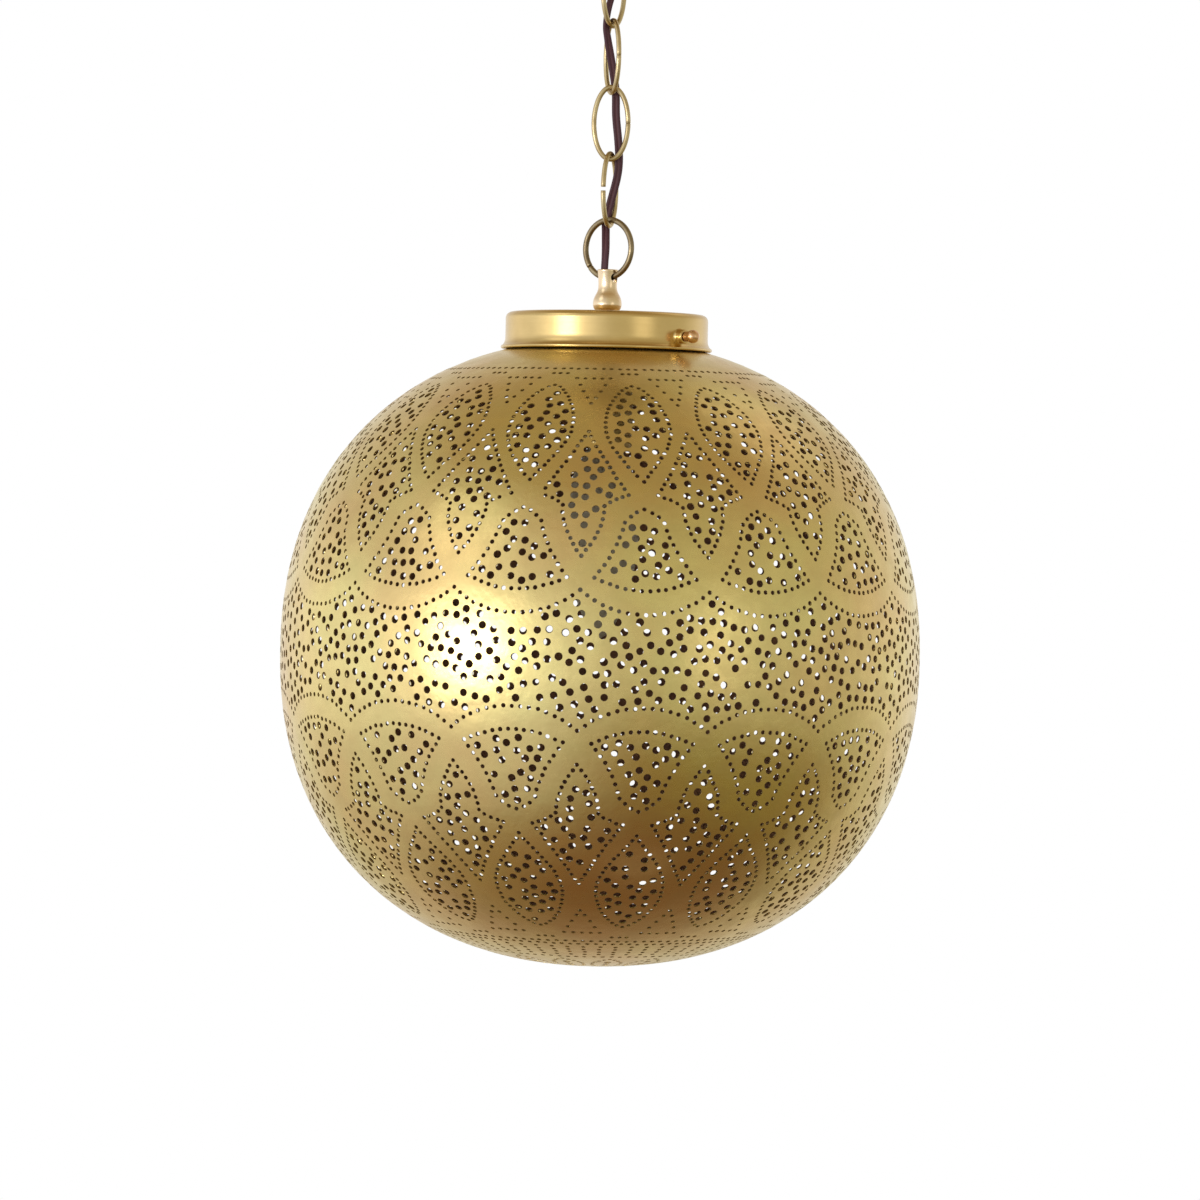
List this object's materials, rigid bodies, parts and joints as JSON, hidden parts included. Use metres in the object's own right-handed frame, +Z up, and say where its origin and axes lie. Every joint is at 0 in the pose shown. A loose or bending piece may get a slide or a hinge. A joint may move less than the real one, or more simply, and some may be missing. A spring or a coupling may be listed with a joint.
{
  "type": "hanging lantern",
  "caption": "Hanging lantern: pierced brass ball of two spun halves under a fitter cap, hung by a ring and oval-link chain from a ceiling canopy, with lamp holder and bulb.",
  "frame": {"origin": "on the ceiling, on the chain's axis, where the crossbar lies against the ceiling box", "axes": "+Z up along the chain to the ceiling; -Y towards the viewer in front"},
  "size_m": [0.3, 0.3, 0.5355],
  "materials": {
    "shade_brass": "satin aged brass, hand pierced",
    "cap_brass": "satin brushed brass",
    "hanger_brass": "turned and polished brass",
    "chain_brass": "antique brass",
    "ring_brass": "dark antique brass, worn bright",
    "holder_brass": "plain brass",
    "zinc_steel": "zinc plated",
    "green_steel": "green lacquered screw",
    "card": "brown pressed card",
    "holder_ceramic": "unglazed white ceramic",
    "frosted_glass": "frosted",
    "cord_plastic": "brown twin lead"
  },
  "bodies": {
    "ceiling": {"crossbar": "zinc_steel", "box_screw_1": "zinc_steel", "box_screw_2": "zinc_steel", "earth_screw": "green_steel", "canopy_nipple": "zinc_steel", "crossbar_locknut": "zinc_steel", "canopy": "chain_brass", "canopy_loop": "chain_brass", "collar_nut": "chain_brass", "cord_1": "cord_plastic"},
    "link_1": {"chain_link_1": "chain_brass", "cord_2": "cord_plastic"},
    "link_2": {"chain_link_2": "chain_brass", "cord_3": "cord_plastic"},
    "link_3": {"chain_link_3": "chain_brass", "cord_4": "cord_plastic"},
    "link_4": {"chain_link_4": "chain_brass", "cord_5": "cord_plastic"},
    "ring": {"hanging_ring": "ring_brass"},
    "lantern": {"hanger": "hanger_brass", "cap_stem": "zinc_steel", "fitter_cap": "cap_brass", "cap_washer": "zinc_steel", "cap_locknut": "zinc_steel", "socket_cap": "holder_brass", "socket_shell": "holder_brass", "socket_liner": "card", "socket_core": "holder_ceramic", "screw_shell": "holder_brass", "centre_contact": "holder_brass", "terminal_screw_1": "holder_brass", "terminal_screw_2": "holder_brass", "cord_6": "cord_plastic"},
    "shade": {"shade_upper_half": "shade_brass", "shade_lower_half": "shade_brass"},
    "thumb_screw_a": {"thumb_screw_1": "hanger_brass"},
    "thumb_screw_b": {"thumb_screw_2": "hanger_brass"},
    "bulb": {"bulb_base": "zinc_steel", "bulb_glass": "frosted_glass", "bulb_tip_contact": "zinc_steel"}
  },
  "joints": [
    {"name": "link_1_swing", "type": "hinge", "parent": "ceiling", "child": "link_1", "pos_m": [0, 0, -0.0568], "axis": [0.766, -0.6428, 0], "range_deg": [-15, 15], "deforming": ["cord_1"]},
    {"name": "link_2_swing", "type": "hinge", "parent": "link_1", "child": "link_2", "pos_m": [0, 0, -0.08715], "axis": [0.6157, 0.788, 0], "range_deg": [-15, 15], "deforming": ["cord_2"]},
    {"name": "link_3_swing", "type": "hinge", "parent": "link_2", "child": "link_3", "pos_m": [0, 0, -0.1183], "axis": [0.3746, -0.9272, 0], "range_deg": [-15, 15], "deforming": ["cord_3"]},
    {"name": "link_4_swing", "type": "hinge", "parent": "link_3", "child": "link_4", "pos_m": [0, 0, -0.14945], "axis": [1, 0, 0], "range_deg": [-15, 15], "deforming": ["cord_4"]},
    {"name": "ring_swing", "type": "hinge", "parent": "link_4", "child": "ring", "pos_m": [0, 0, -0.1806], "axis": [0.3746, 0.9272, 0], "range_deg": [-15, 15], "deforming": ["cord_5"]},
    {"name": "lantern_swing", "type": "hinge", "parent": "ring", "child": "lantern", "pos_m": [0, 0, -0.2048], "axis": [0.788, -0.6157, 0], "range_deg": [-15, 15], "deforming": ["cord_6"]},
    {"name": "thumb_screw_a_slide", "type": "slide", "parent": "lantern", "child": "thumb_screw_a", "axis": [0.7071, -0.7071, 0], "range_m": [0, 0.006]},
    {"name": "thumb_screw_b_slide", "type": "slide", "parent": "lantern", "child": "thumb_screw_b", "axis": [-0.7071, 0.7071, 0], "range_m": [0, 0.006]},
    {"name": "shade_drop", "type": "slide", "parent": "lantern", "child": "shade", "axis": [0, 0, -1], "range_m": [0, 0.16]},
    {"name": "bulb_unscrew", "type": "slide", "parent": "lantern", "child": "bulb", "axis": [0, 0, -1], "range_m": [0, 0.022]}
  ]
}
